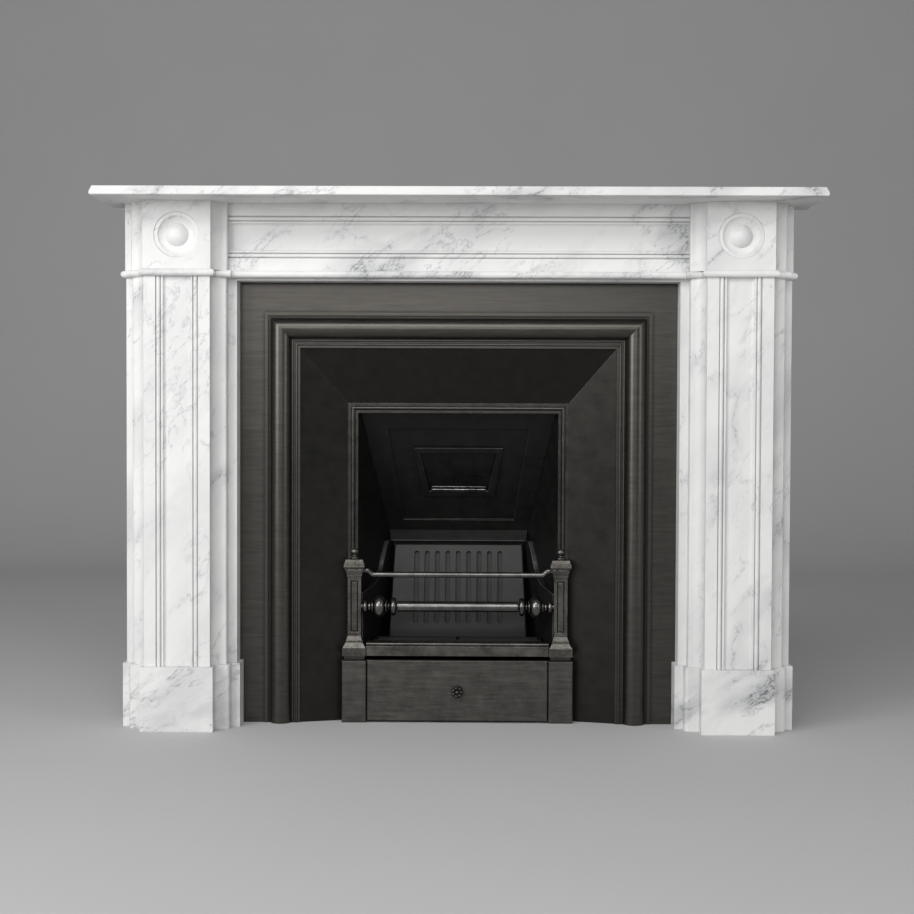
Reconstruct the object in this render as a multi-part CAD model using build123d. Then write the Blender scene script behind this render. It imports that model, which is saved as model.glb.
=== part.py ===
from build123d import *
import os
from math import asin, atan2, cos, degrees, hypot, pi, sin

# A marble chimneypiece round a cast-iron register insert. Millimetres, X to the right,
# Z up from the floor, Y into the wall. The wall face is Y = 0, and "front" below is the
# distance that something stands in front of the wall, so that Y = -front.

# Marble: overall sizes
shelf_width = 1524.0
shelf_depth = 212.0
shelf_thickness = 19.0
shelf_edge_bevel = 5.0
shelf_edge_band = 7.0
shelf_edge_round = 2.5
frieze_height = 144.5
opening_width = 955.0
opening_height = 965.0

# Marble: the jambs
pilaster_width = 141.0
pilaster_front = 127.0
pilaster_thickness = 32.0
step_width = 30.5
cove_setback = 6.0
cove_arris = 4.0
slip_face = 18.5
slip_front = 69.0
slab_thickness = 20.0
plinth_height = 138.0
plinth_proud = 7.5
plinth_front_proud = 10.5
plinth_corner_round = 8.0

# Marble: the corner blocks, necking and frieze
block_proud = 2.0
block_front_proud = 3.0
block_back_front = 40.0
necking_height = 15.0
necking_proud = 10.0
necking_round = 7.2
soffit_show = 4.5
frieze_front = 84.0
frieze_thickness = 22.0

# Marble: the worked section that the pilasters and the frieze share, out from its centre
panel_half = 23.0
panel_edge_sink = 7.5
panel_crown = 1.0
hollow_half = 29.5
hollow_sag = 1.3
fillet_half = 33.4
fillet_sink = 1.5
groove_half = 34.8
groove_sink = 5.5
bead_half = 44.0
bead_sink = 3.6
quirk_width = 1.3
quirk_sink = 4.5

# Marble: the turned roundels let into the corner blocks
roundel_radius = 48.0
roundel_recess = 14.0
roundel_rim_width = 8.0
roundel_rim_sink = 1.2
dish_depth = 8.0
boss_radius = 25.0
boss_rise = 4.0
joint_gap = 0.3

# Steel ties that hold the shelf to the wall
tie_spacing = 600.0
tie_width = 40.0
tie_leg = 38.0
tie_thickness = 3.0
tie_hole_radius = 3.0

# Iron: the front frame
plate_front = 24.0
plate_thickness = 8.0
plate_lap = 12.5
plate_edge_clearance = 2.0
flange_thickness = 8.0
flange_reach = 26.0
inner_flange_reach = 22.0
bolt_edge = 7.0
side_margin = 54.5
top_margin = 65.0
mould_width = 77.5
mould_fillet_height = 4.0
mould_fillet_width = 7.0
mould_fillet_step = 1.5
mould_cove_width = 4.5
mould_ground = 3.0
mould_hollow = 1.2
torus_width = 44.0
torus_rise = 15.0
torus_bead_gap = 1.5
torus_foot = 2.5
large_bead_width = 5.0
large_bead_rise = 2.5
bead_spacing = 3.5
small_bead_width = 5.0
small_bead_rise = 2.5
lug_reach = 26.0
lug_thickness = 6.0
lug_height = 40.0
lug_hole_radius = 4.0
lug_low = 250.0
lug_high = 850.0

# Iron: the splayed panels and the frame round the fire opening
splay_step = 2.0
splay_inner_front = -6.0
splay_thickness = 8.0
inner_frame_half = 243.0
inner_frame_top = 703.0
inner_frame_width = 22.0
inner_frame_thickness = 8.0
inner_bead_radius = 3.6
inner_bead_offset = 11.0
inner_lip_width = 5.0
inner_lip_rise = 1.8
bolt_radius = 3.0
bolt_clearance = 0.25
bolt_head_width = 10.0
bolt_head_height = 4.0

# Iron: the firebox
base_thickness = 4.0
cheek_thickness = 8.0
firebox_back_front = -195.0
firebox_back_half = 160.5
hood_foot_height = 409.0
hood_thickness = 8.0
hood_panel_low = 29.0
hood_panel_high = 278.0
hood_panel_low_margin = 38.0
hood_panel_high_margin = 51.0
hood_panel_sink = 5.0
back_plate_thickness = 8.0
sill_nose_front = -163.0
sill_drop = 20.0
sill_taper = 5.5
fireback_head_gap = 7.0
liner_head_gap = 0.5
sill_thickness = 9.0
sill_edge = 3.0
carrier_height = 155.0
carrier_thickness = 10.0
carrier_ledge = 10.0
bearer_depth = 8.0
liner_thickness = 9.0
liner_front_top = 281.0
liner_elbow_front = -69.0
liner_elbow_height = 291.0
liner_knee_front = -135.0
liner_knee_height = 343.0

# Iron: the leaning fireback
fireback_foot_front = -77.0
fireback_top_front = -170.0
fireback_foot_half = 158.5
fireback_top_half = 148.5
fireback_thickness = 14.0
fireback_bevel = 3.0
flute_count = 9
flute_pitch = 24.0
flute_width = 11.0
flute_depth = 5.5
flute_foot_margin = 43.0
flute_head_margin = 18.0

# Iron: the damper in the hood
throat_half = 77.0
throat_lean = 9.5
throat_low = 109.0
throat_height = 104.0
throat_frame_width = 14.0
throat_frame_rise = 5.0
flap_lap = 8.0
flap_thickness = 6.0
flap_gap = 0.4
flap_lip_reach = 11.0
flap_lip_height = 6.0
flap_pin_radius = 4.0
flap_pin_clearance = 0.08
flap_knuckle_radius = 9.0
flap_knuckle_width = 14.0
flap_ear_width = 8.0
flap_side_gap = 0.6

# Iron: the fire grate and the front bars
grate_half = 186.0
grate_front_front = -16.0
grate_depth = 58.0
grate_height = 12.0
grate_slots = 4
grate_slot_width = 7.5
grate_border = 8.0
hob_end_gap = 1.2
hob_front = 25.5
hob_rear_front = -12.0
hob_fascia = 29.5
hob_wall = 8.0
hob_nose_radius = 3.6
post_frame_inset = 16.0
post_centre_front = 3.0
post_base_half = 25.5
post_shaft_half = 14.5
post_base_height = 18.0
post_shoulder_height = 11.0
post_shoulder_inset = 6.5
post_foot_height = 14.0
post_foot_proud = 4.0
post_shaft_height = 131.0
post_neck_height = 15.6
post_neck_proud = 5.0
post_cap_height = 22.0
post_cap_proud = 8.4
post_panel_width = 17.0
post_panel_margin = 9.0
post_panel_sink = 3.5
post_strip_gap = 3.0
post_strip_sink = 1.2
finial_height = 24.0
finial_radius = 10.5
top_bar_radius = 6.2
top_bar_rise = 9.0
top_bar_crank = 11.0
turned_bar_lift = 64.0
turned_bar_radius = 11.7
turned_core_radius = 7.0
bar_ring_gap = 1.2
bar_end_neck = 4.0
bar_bead_width = 9.5
bar_bead_radius = 14.5
bar_ring_width = 7.5
bar_ring_radius = 11.0
bar_edge_width = 3.2
bar_edge_radius = 15.0
bar_ball_width = 24.0
bar_ball_radius = 24.4
bar_hollow_width = 6.5
bar_hollow_radius = 9.8
bar_collar_width = 12.0
bar_collar_radius = 20.4
tenon_radius = 5.0
tenon_length = 6.0
tenon_clearance = 0.2

# Iron: the ash pit
pit_block_width = 54.0
pit_block_front = 26.0
pit_block_height = 137.0
pit_block_chamfer = 2.0
pit_neck_inset = 5.0
pit_neck_setback = 15.0
pit_neck_height = 10.0
pit_pad_width = 28.0
pit_pad_height = 100.0
cover_gap = 1.5
cover_height = 134.0
cover_floor_gap = 4.5
cover_thickness = 8.0
pan_half = 168.0
pan_depth = 165.0
pan_height = 92.0
pan_wall = 2.0
runner_height = 4.0
runner_width = 10.0
runner_centre = 140.0
slide_gap = 0.3
knob_height = 70.0
knob_radius = 13.5
knob_stem_radius = 5.0
knob_stem_length = 7.0
petal_count = 7
petal_radius = 4.6
screw_radius = 2.5
screw_head_radius = 5.5
screw_head_height = 3.5
screw_grip = 12.0

# Places worked out from the sizes above
half_opening = opening_width / 2
half_pilaster = pilaster_width / 2
half_step = half_pilaster + step_width
half_jamb = half_step + slip_face
jamb_centre = half_opening + half_jamb
necking_bottom = opening_height + soffit_show
necking_top = necking_bottom + necking_height
shelf_underside = necking_top + frieze_height
mantel_height = shelf_underside + shelf_thickness
cove_root = pilaster_front - cove_setback
step_front = cove_root - (step_width - cove_arris)
block_half_step = half_step + block_proud
frieze_half = jamb_centre - block_half_step
plate_half = half_opening + plate_lap
plate_top = opening_height + plate_lap
plate_back = plate_front - plate_thickness
mould_half = half_opening - side_margin
mould_top = opening_height - top_margin
splay_outer_half = mould_half - mould_width
splay_outer_top = mould_top - mould_width
splay_outer_front = plate_front - splay_step
fire_half = inner_frame_half - inner_frame_width
post_centre = inner_frame_half - post_frame_inset
fire_top = inner_frame_top - inner_frame_width
inner_frame_back = splay_inner_front - inner_frame_thickness
bead_clear_front = splay_inner_front + inner_bead_radius + joint_gap
carrier_top = carrier_height + carrier_thickness
grate_top = carrier_top + grate_height
hob_half = post_centre - post_base_half - hob_end_gap
sill_nose_height = hood_foot_height - sill_drop
fireback_top_height = sill_nose_height - sill_edge - fireback_head_gap
liner_top = sill_nose_height - sill_edge - liner_head_gap
post_shaft_low = (
    pit_block_height + pit_neck_height + post_base_height + post_shoulder_height + post_foot_height
)
post_neck_low = post_shaft_low + post_shaft_height
turned_bar_height = post_shaft_low + turned_bar_lift
top_bar_end_height = post_neck_low + 0.8 * post_neck_height
firebox_top = inner_frame_top - flange_thickness
cheek_run = inner_frame_back - firebox_back_front
cheek_slope = (fire_half - firebox_back_half) / cheek_run
cheek_skew = hypot(1, cheek_slope)
back_plate_back = firebox_back_front - back_plate_thickness
hood_slope = cheek_run / (inner_frame_top - hood_foot_height)
hood_skew = hypot(1, hood_slope)
hood_plane = Plane(
    origin=(0, -firebox_back_front, hood_foot_height),
    x_dir=(1, 0, 0),
    z_dir=(0, -1, -hood_slope),
)
far = 3000.0


def box(x0, x1, front0, front1, z0, z1):
    middle = Pos((x0 + x1) / 2, -(front0 + front1) / 2, (z0 + z1) / 2)
    return middle * Box(abs(x1 - x0), abs(front1 - front0), abs(z1 - z0))


def outline(start, steps):
    """A closed face: each step is a point, or a point on an arc and the arc's end."""
    edges = []
    here = start
    for step in steps:
        if isinstance(step[0], tuple):
            edges.append(ThreePointArc(here, step[0], step[1]))
            here = step[1]
        elif step != here:
            edges.append(Line(here, step))
            here = step
    edges.append(Line(here, start))
    return make_face(edges)


def prism_up(z0, z1, start, *steps):
    """A plan outline of (x, front) points, raised from z0 to z1."""
    plan = Plane(origin=(0, 0, z0), x_dir=(1, 0, 0), z_dir=(0, 0, -1))
    return extrude(plan * outline(start, steps), amount=z1 - z0, dir=(0, 0, 1))


def prism_across(x0, x1, start, *steps):
    """An outline of (front, z) points, drawn along X from x0 to x1."""
    side = Plane(origin=(x0, 0, 0), x_dir=(0, -1, 0), z_dir=(-1, 0, 0))
    return extrude(side * outline(start, steps), amount=x1 - x0, dir=(1, 0, 0))


def prism_forward(front0, front1, start, *steps):
    """An outline of (x, z) points, drawn out of the wall from front0 to front1."""
    face = Plane(origin=(0, -front0, 0), x_dir=(1, 0, 0), z_dir=(0, -1, 0))
    return extrude(face * outline(start, steps), amount=front1 - front0, dir=(0, -1, 0))


def rod(x, front, z, radius, length, direction):
    """A round bar that starts at a point and runs along a direction."""
    start = Plane(origin=(x, -front, z), z_dir=direction)
    return extrude(start * Circle(radius), amount=length, dir=direction)


def ring_steps(low, high, core, crest):
    """Steps of a round-edged ring on a turned piece, along it and out from its axis."""
    shoulder = max(core, crest - (high - low) / 2)
    return ((low, core), (low, shoulder), (((low + high) / 2, crest), (high, shoulder)), (high, core))


def other_side(shape):
    return mirror(shape, about=Plane.YZ)


def save(node, shape):
    export_step(shape, f"parts/{node}.step")


def save_pair(node, right_shape):
    save(f"right_{node}", right_shape)
    save(f"left_{node}", other_side(right_shape))


# The marble pieces


def mantel_shelf():
    half = shelf_width / 2
    band = box(-half, half, 0, shelf_depth, shelf_underside, shelf_underside + shelf_edge_band)
    lower = band.edges().filter_by(Plane.XY).group_by(Axis.Z)[0]
    lower = [edge for edge in lower if edge.center().Y < -1]
    band = fillet(lower, shelf_edge_round)
    rise = shelf_thickness - shelf_edge_band
    top_half = half - shelf_edge_bevel
    bevel = prism_across(
        -half,
        half,
        (0, shelf_underside + shelf_edge_band),
        (shelf_depth, shelf_underside + shelf_edge_band),
        (shelf_depth - shelf_edge_bevel, mantel_height),
        (0, mantel_height),
    )
    ends = prism_forward(
        0,
        shelf_depth,
        (-half, mantel_height - rise),
        (half, mantel_height - rise),
        (top_half, mantel_height),
        (-top_half, mantel_height),
    )
    return band + (bevel & ends)


def worked_section(half_width, face):
    """Steps of the moulded face from one margin to the other, as (along, level)."""
    hollow_middle = (panel_half + hollow_half) / 2 + hollow_sag
    hollow_level = face - (panel_edge_sink + fillet_sink) / 2 - hollow_sag
    outward = [
        ((hollow_middle, hollow_level), (hollow_half, face - fillet_sink)),
        (fillet_half, face - fillet_sink),
        (fillet_half, face - groove_sink),
        (groove_half, face - groove_sink),
        (groove_half, face - bead_sink),
        (((groove_half + bead_half) / 2, face), (bead_half, face - bead_sink)),
        (bead_half, face - quirk_sink),
        (bead_half + quirk_width, face - quirk_sink),
        (bead_half + quirk_width, face),
        (half_width, face),
    ]
    floor = (panel_half, face - panel_edge_sink)
    middle = (0, face - panel_edge_sink + panel_crown)
    return mirrored_steps(floor, outward) + [(middle, floor)] + outward


def mirrored_steps(start, steps):
    """The same steps on the other side of the middle, walked from their end to the start."""
    ends = [start] + [step[1] if isinstance(step[0], tuple) else step for step in steps]
    back = [(-ends[-1][0], ends[-1][1])]
    for index in range(len(steps) - 1, -1, -1):
        end = (-ends[index][0], ends[index][1])
        step = steps[index]
        if isinstance(step[0], tuple):
            back.append(((-step[0][0], step[0][1]), end))
        else:
            back.append(end)
    return back


def pilaster():
    back = pilaster_front - pilaster_thickness
    steps = worked_section(half_pilaster, pilaster_front)
    shaft = prism_up(
        plinth_height, necking_bottom, (-half_pilaster, back), *steps, (half_pilaster, back)
    )
    return Pos(jamb_centre, 0, 0) * shaft


def frieze_panel():
    middle = (necking_top + shelf_underside) / 2
    half_height = (shelf_underside - necking_top) / 2
    steps = []
    for step in worked_section(half_height, frieze_front):
        if isinstance(step[0], tuple):
            steps.append(tuple((level, middle + along) for along, level in step))
        else:
            steps.append((step[1], middle + step[0]))
    back = frieze_front - frieze_thickness
    low = (back, middle - half_height)
    high = (back, middle + half_height)
    return prism_across(-frieze_half, frieze_half, low, *steps, high)


def cove_steps(half_front, half_outer, front):
    """Steps of a stepped return: down the side, round the cove and over its arris."""
    root = front - cove_setback
    centre = half_outer - cove_arris
    radius = centre - half_front
    slant = sin(pi / 4)
    arris = root - radius
    return (
        (half_front, root),
        ((centre - radius * slant, root - radius * slant), (centre, arris)),
        (
            (centre + cove_arris * slant, arris - cove_arris + cove_arris * slant),
            (half_outer, arris - cove_arris),
        ),
    )


def cove_return():
    """One coved upright, on the outer side of the right pilaster."""
    steps = cove_steps(half_pilaster, half_step, pilaster_front)
    bar = prism_up(
        plinth_height,
        necking_bottom,
        (half_pilaster, slip_front),
        *steps,
        (half_step, slip_front),
    )
    return bar


def corner_block():
    half_front = half_pilaster + block_proud
    front = pilaster_front + block_front_proud
    outer = half_jamb + block_proud
    right = prism_up(
        necking_top,
        shelf_underside,
        (0, block_back_front),
        (0, front),
        (half_front, front),
        *cove_steps(half_front, block_half_step, front),
        (block_half_step, block_back_front),
    )
    leg = box(
        block_half_step - slab_thickness / 2,
        outer,
        0,
        slip_front + block_proud,
        necking_top,
        shelf_underside,
    )
    block = Pos(jamb_centre, 0, 0) * (right + other_side(right) + leg)
    middle = (necking_top + shelf_underside) / 2
    recess = rod(
        jamb_centre,
        front - roundel_recess,
        middle,
        roundel_radius,
        roundel_recess + 1,
        (0, -1, 0),
    )
    return block - recess


def bullseye_roundel():
    """A turned disc: a rim, a hollow dish and a domed boss, in (radius, height) points."""
    outer = roundel_radius - joint_gap
    rim = outer - roundel_rim_width
    dish_floor = -dish_depth
    dome_height = boss_rise + dish_depth
    dome = (boss_radius**2 + dome_height**2) / (2 * dome_height)
    half_angle = asin(boss_radius / dome) / 2
    dish_middle = (rim + boss_radius) / 2
    profile = outline(
        (0, -roundel_recess),
        (
            (outer, -roundel_recess),
            (outer, -roundel_rim_sink),
            (rim, -roundel_rim_sink),
            (rim, -2 * roundel_rim_sink),
            ((dish_middle, dish_floor * 0.8), (boss_radius, dish_floor)),
            (
                (dome * sin(half_angle), boss_rise - dome * (1 - cos(half_angle))),
                (0, boss_rise),
            ),
        ),
    )
    disc = revolve(profile, axis=Axis.Y)
    front = pilaster_front + block_front_proud
    middle = (necking_top + shelf_underside) / 2
    return Pos(jamb_centre, -front, middle) * (Rot(180, 0, 0) * disc)


def nosed(slab, faces):
    """A slab whose chosen vertical faces are worked to a half-round nosing."""
    edges = []
    for face in faces:
        side = slab.faces().sort_by(face)[-1]
        edges += side.edges().filter_by(Plane.XY)
    return fillet(edges, necking_round)


def necking():
    """The band under the right corner block, stepping round the jamb."""
    levels = (necking_bottom, necking_top)
    front_half = half_pilaster + necking_proud
    step_half = half_step + necking_proud
    core_front = block_back_front
    band = nosed(
        box(-front_half, front_half, core_front, pilaster_front + necking_proud, *levels),
        (-Axis.Y, Axis.X, -Axis.X),
    )
    step = nosed(
        box(-step_half, step_half, slip_front, step_front + necking_proud, *levels),
        (-Axis.Y, Axis.X),
    )
    outer = nosed(
        box(0, half_jamb + necking_proud, 0, slip_front + necking_proud, *levels),
        (-Axis.Y, Axis.X),
    )
    inner = box(-half_jamb, 0, plate_front, slip_front, *levels)
    return Pos(jamb_centre, 0, 0) * (band + step + outer + inner)


def frieze_nosing():
    half = jamb_centre - half_step - necking_proud
    bar = box(
        -half, half, slip_front, frieze_front + necking_proud, necking_bottom, necking_top
    )
    return nosed(bar, (-Axis.Y,))


def header_soffit():
    return box(
        -half_opening, half_opening, plate_front, slip_front, opening_height, necking_top
    )


def jamb_slip():
    return box(
        half_opening,
        half_opening + slab_thickness,
        plate_front,
        slip_front,
        plinth_height,
        necking_bottom,
    )


def outer_return():
    outer = jamb_centre + half_jamb
    return box(outer - slab_thickness, outer, 0, slip_front, plinth_height, necking_bottom)


def jamb_backing():
    return box(
        half_opening + slab_thickness,
        jamb_centre + half_jamb - slab_thickness,
        slip_front - slab_thickness,
        slip_front,
        plinth_height,
        necking_bottom,
    )


def plinth():
    front = pilaster_front + plinth_front_proud
    front_half = half_pilaster + plinth_proud
    mid_half = half_step + plinth_proud
    mid_front = step_front + plinth_proud
    outer_half = half_jamb + plinth_proud
    outer_front = slip_front + plinth_proud
    plate_edge = plate_half + plate_edge_clearance - jamb_centre
    turn = plinth_corner_round
    slack = turn * (1 - sin(pi / 4))
    block = prism_up(
        0,
        plinth_height,
        (plate_edge, 0),
        (plate_edge, plate_front),
        (-outer_half, plate_front),
        (-outer_half, outer_front),
        (-mid_half, outer_front),
        (-mid_half, mid_front - turn),
        ((-mid_half + slack, mid_front - slack), (-mid_half + turn, mid_front)),
        (-front_half, mid_front),
        (-front_half, front),
        (front_half, front),
        (front_half, mid_front),
        (mid_half - turn, mid_front),
        ((mid_half - slack, mid_front - slack), (mid_half, mid_front - turn)),
        (mid_half, outer_front),
        (outer_half, outer_front),
        (outer_half, 0),
    )
    return Pos(jamb_centre, 0, 0) * block


def shelf_ties():
    """Two steel angles screwed under the shelf and to the wall."""
    ties = []
    for x in (-tie_spacing / 2, tie_spacing / 2):
        x0, x1 = x - tie_width / 2, x + tie_width / 2
        top = shelf_underside
        upright = box(x0, x1, 0, tie_thickness, top - tie_leg, top)
        ledge = box(x0, x1, 0, tie_leg, top - tie_thickness, top)
        wall_hole = rod(x, -1, top - tie_leg / 2, tie_hole_radius, tie_leg, (0, -1, 0))
        ties.append(upright + ledge - wall_hole)
    return Compound(children=ties)


# The iron front: a flat frame with a bold moulding, splayed panels and an inner frame


def mitre_region(inner, outer, side):
    """The part of the front view on one side of the mitre lines at the two corners."""
    run = (outer[0] - inner[0], outer[1] - inner[1])
    near = (inner[0] - 2 * run[0], inner[1] - 2 * run[1])
    away = (inner[0] + 2 * run[0], inner[1] + 2 * run[1])
    if side:
        return prism_forward(-far, far, near, away, (away[0], -far), (near[0], -far))
    return prism_forward(-far, far, near, away, (-away[0], away[1]), (-near[0], near[1]))


def frame_runs(inner, outer, half, top, section):
    """Right upright and head of a three-sided moulding, mitred at the corners.

    The section is made of (inward, front) points, and half and top are its outer edges.
    """

    def turned(step, place):
        if isinstance(step[0], tuple):
            return tuple(place(*point) for point in step)
        return place(*step)

    plan = [turned(step, lambda inward, front: (half - inward, front)) for step in section]
    head = [turned(step, lambda inward, front: (front, top - inward)) for step in section]
    upright = prism_up(0, top, *plan) & mitre_region(inner, outer, True)
    across = prism_across(-half, half, *head) & mitre_region(inner, outer, False)
    return upright, across


def bolection_section():
    """The moulding's outline, from its outer edge inward."""
    face = plate_front
    ground = face + mould_ground
    cove_start = mould_fillet_width + mould_fillet_step
    torus_start = cove_start + mould_cove_width
    torus_end = torus_start + torus_width
    large_start = torus_end + torus_bead_gap
    large_end = large_start + large_bead_width
    small_start = large_end + bead_spacing
    small_end = small_start + small_bead_width
    fillet_face = face + mould_fillet_height
    return [
        (0, face),
        (0, fillet_face),
        (mould_fillet_width, fillet_face),
        (mould_fillet_width, fillet_face - mould_fillet_step),
        (cove_start, fillet_face - mould_fillet_step),
        (cove_start, face + mould_hollow),
        (torus_start, face + mould_hollow),
        (torus_start, ground + torus_foot),
        (
            ((torus_start + torus_end) / 2, ground + torus_foot + torus_rise),
            (torus_end, ground + torus_foot),
        ),
        (torus_end, ground),
        (large_start, ground),
        (
            ((large_start + large_end) / 2, ground + large_bead_rise),
            (large_end, ground),
        ),
        (small_start, ground),
        (
            ((small_start + small_end) / 2, ground + small_bead_rise),
            (small_end, ground),
        ),
        (mould_width, ground),
        (mould_width, face),
    ]


def bolt_places(half, top, head_too):
    """Where bolts cross the joint between two frames, as (x, z, direction)."""
    places = []
    for z in (top * 0.2, top * 0.5, top * 0.8):
        places.append((half, z, (1, 0, 0)))
        places.append((-half, z, (-1, 0, 0)))
    if head_too:
        for x in (-half * 0.5, half * 0.5):
            places.append((x, top, (0, 0, 1)))
    return places


def joint_bolts(outer_joint, radius, heads):
    """Bolts, or their holes, through the flanges either side of a joint."""
    half, top, front = inner_frame_half, inner_frame_top, inner_joint_front
    if outer_joint:
        half, top, front = splay_outer_half, splay_outer_top, outer_joint_front
    bolts = []
    for x, z, direction in bolt_places(half, top, outer_joint):
        inward = tuple(-value for value in direction)
        grip = flange_thickness
        bolt = rod(x, front, z, radius, grip, direction)
        bolt += rod(x, front, z, radius, grip, inward)
        if heads:
            for way in (direction, inward):
                start = (x + way[0] * grip, -front, z + way[2] * grip)
                seat = Plane(origin=start, z_dir=way)
                hexagon = RegularPolygon(bolt_head_width / 2, 6)
                bolt += extrude(seat * hexagon, amount=bolt_head_height, dir=way)
        bolts.append(bolt)
    return bolts


outer_joint_front = splay_outer_front - flange_reach + bolt_edge
inner_joint_front = inner_frame_back - inner_flange_reach + bolt_edge


def joint_holes():
    radius = bolt_radius + bolt_clearance
    return Compound(children=joint_bolts(True, radius, False) + joint_bolts(False, radius, False))


def frame_bolts():
    return Compound(
        children=joint_bolts(True, bolt_radius, True) + joint_bolts(False, bolt_radius, True)
    )


def arch_of(half, top, width, front0, front1):
    """A plain three-sided frame standing on the floor, of one width all round."""
    whole = box(-half, half, front0, front1, 0, top)
    return whole - box(-half + width, half - width, front0, front1, 0, top - width)


def front_frame():
    """One casting: the flat frame, its moulding, its rim and flange, and four wall lugs."""
    inner = (splay_outer_half, splay_outer_top)
    outer = (mould_half, mould_top)
    plate = box(-plate_half, plate_half, plate_back, plate_front, 0, plate_top)
    plate -= box(-inner[0], inner[0], plate_back, plate_front, 0, inner[1])
    rim = arch_of(plate_half, plate_top, flange_thickness, 0, plate_back)
    flange = arch_of(
        inner[0] + flange_thickness,
        inner[1] + flange_thickness,
        flange_thickness,
        splay_outer_front - flange_reach,
        plate_back,
    )
    upright, head = frame_runs(inner, outer, mould_half, mould_top, bolection_section())
    frame = plate + rim + flange + upright + other_side(upright) + head
    for side in (-1, 1):
        for z in (lug_low, lug_high):
            edge = side * plate_half
            tip = side * (plate_half + lug_reach)
            lug = box(edge, tip, 0, lug_thickness, z - lug_height / 2, z + lug_height / 2)
            hole_x = side * (plate_half + lug_reach / 2)
            frame += lug - rod(hole_x, -1, z, lug_hole_radius, lug_thickness + 2, (0, -1, 0))
    return frame - joint_holes()


def splay_panels():
    """Right and head panels, each a slanted web with a flange turned back at both ends."""
    inner = (inner_frame_half, inner_frame_top)
    outer = (splay_outer_half, splay_outer_top)
    drop = splay_outer_front - splay_inner_front
    panels = []
    for side in (True, False):
        width = outer[0] - inner[0] if side else outer[1] - inner[1]
        slope = drop / width
        web = splay_thickness * hypot(1, slope)
        outer_back = splay_outer_front - slope * flange_thickness - web
        inner_back = splay_inner_front + slope * flange_thickness - web
        section = [
            (0, splay_outer_front),
            (width, splay_inner_front),
            (width, inner_frame_back - inner_flange_reach),
            (width - flange_thickness, inner_frame_back - inner_flange_reach),
            (width - flange_thickness, inner_back),
            (flange_thickness, outer_back),
            (flange_thickness, splay_outer_front - flange_reach),
            (0, splay_outer_front - flange_reach),
        ]
        upright, head = frame_runs(inner, outer, outer[0], outer[1], section)
        panels.append((upright if side else head) - joint_holes())
    return panels


def inner_frame():
    """The beaded frame round the fire opening, with its flange turned back."""
    outer = (inner_frame_half, inner_frame_top)
    inner = (fire_half, fire_top)
    face = splay_inner_front
    bead = inner_bead_offset
    radius = inner_bead_radius
    lip = inner_frame_width - inner_lip_width
    section = [
        (0, face),
        (bead - radius, face),
        ((bead, face + radius), (bead + radius, face)),
        (lip, face),
        (lip, face + inner_lip_rise),
        (inner_frame_width, face + inner_lip_rise),
        (inner_frame_width, inner_frame_back),
        (flange_thickness, inner_frame_back),
        (flange_thickness, inner_frame_back - inner_flange_reach),
        (0, inner_frame_back - inner_flange_reach),
    ]
    upright, head = frame_runs(inner, outer, outer[0], outer[1], section)
    return upright + other_side(upright) + head - joint_holes()


# The firebox: cheeks, leaning hood, sill, back, linings and grate


def cheek_x(front, inset=0.0):
    """Where a cheek's inner face lies, or a plane set in from it, at a given depth."""
    line = fire_half - cheek_slope * (inner_frame_back - front)
    return line - inset * cheek_skew


def between_cheeks(inset, z0, z1, front0=back_plate_back, front1=inner_frame_back):
    """The space between the cheeks, or between planes set in from them."""
    return prism_up(
        z0,
        z1,
        (-cheek_x(front0, inset), front0),
        (-cheek_x(front1, inset), front1),
        (cheek_x(front1, inset), front1),
        (cheek_x(front0, inset), front0),
    )


def hood_front(z):
    """How far out the hood's visible face is at a height."""
    return firebox_back_front + hood_slope * (z - hood_foot_height)


def firebox_cheek():
    """The right side plate, with a front flange and a bearer for the grate carrier."""
    end = back_plate_back - 2
    flange_out = fire_half + inner_frame_width - flange_thickness
    flange_back = inner_frame_back - flange_thickness
    plate = prism_up(
        base_thickness,
        firebox_top,
        (cheek_x(inner_frame_back), inner_frame_back),
        (flange_out, inner_frame_back),
        (flange_out, flange_back),
        (cheek_x(flange_back, -cheek_thickness), flange_back),
        (cheek_x(end, -cheek_thickness), end),
        (cheek_x(end), end),
    )
    bearer = prism_up(
        carrier_height - bearer_depth,
        carrier_height,
        (cheek_x(inner_frame_back), inner_frame_back),
        (cheek_x(firebox_back_front), firebox_back_front),
        (cheek_x(firebox_back_front, carrier_ledge), firebox_back_front),
        (cheek_x(inner_frame_back, carrier_ledge), inner_frame_back),
    )
    shoulder = 2 * hood_thickness * hood_skew
    behind = prism_across(
        -far,
        far,
        (end, hood_foot_height),
        (hood_front(hood_foot_height) - shoulder, hood_foot_height),
        (hood_front(inner_frame_top + 1) - shoulder, inner_frame_top + 1),
        (end - shoulder, inner_frame_top + 1),
        (end - shoulder, hood_foot_height),
    )
    return plate + bearer - behind


def hood_panel(depth0, depth1):
    """The sunk panel of the hood, whose sides follow the cheeks."""
    low, high = hood_panel_low, hood_panel_high
    cheek_gain = cheek_slope * hood_slope / hood_skew
    half_low = firebox_back_half + cheek_gain * low - hood_panel_low_margin
    half_high = firebox_back_half + cheek_gain * high - hood_panel_high_margin
    face = outline((-half_low, low), ((half_low, low), (half_high, high), (-half_high, high)))
    plane = hood_plane.offset(depth0)
    return extrude(plane * face, amount=depth1 - depth0, dir=hood_plane.z_dir)


def throat_block(grow, depth0, depth1):
    """The flue throat in the hood's own plane, grown all round by an amount."""
    half = throat_half + grow
    centre = throat_low + throat_height / 2
    height = throat_height + 2 * grow
    low, high = centre - height / 2, centre + height / 2
    foot, head = half - throat_lean, half + throat_lean
    face = outline((-foot, low), ((foot, low), (head, high), (-head, high)))
    plane = hood_plane.offset(depth0)
    return extrude(plane * face, amount=depth1 - depth0, dir=hood_plane.z_dir)


pin_drop = throat_low - flap_lap - flap_knuckle_radius - 1
pin_depth = -hood_thickness - flap_gap - flap_knuckle_radius
pin_place = hood_plane.from_local_coords(Vector(0, pin_drop, pin_depth))


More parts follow.
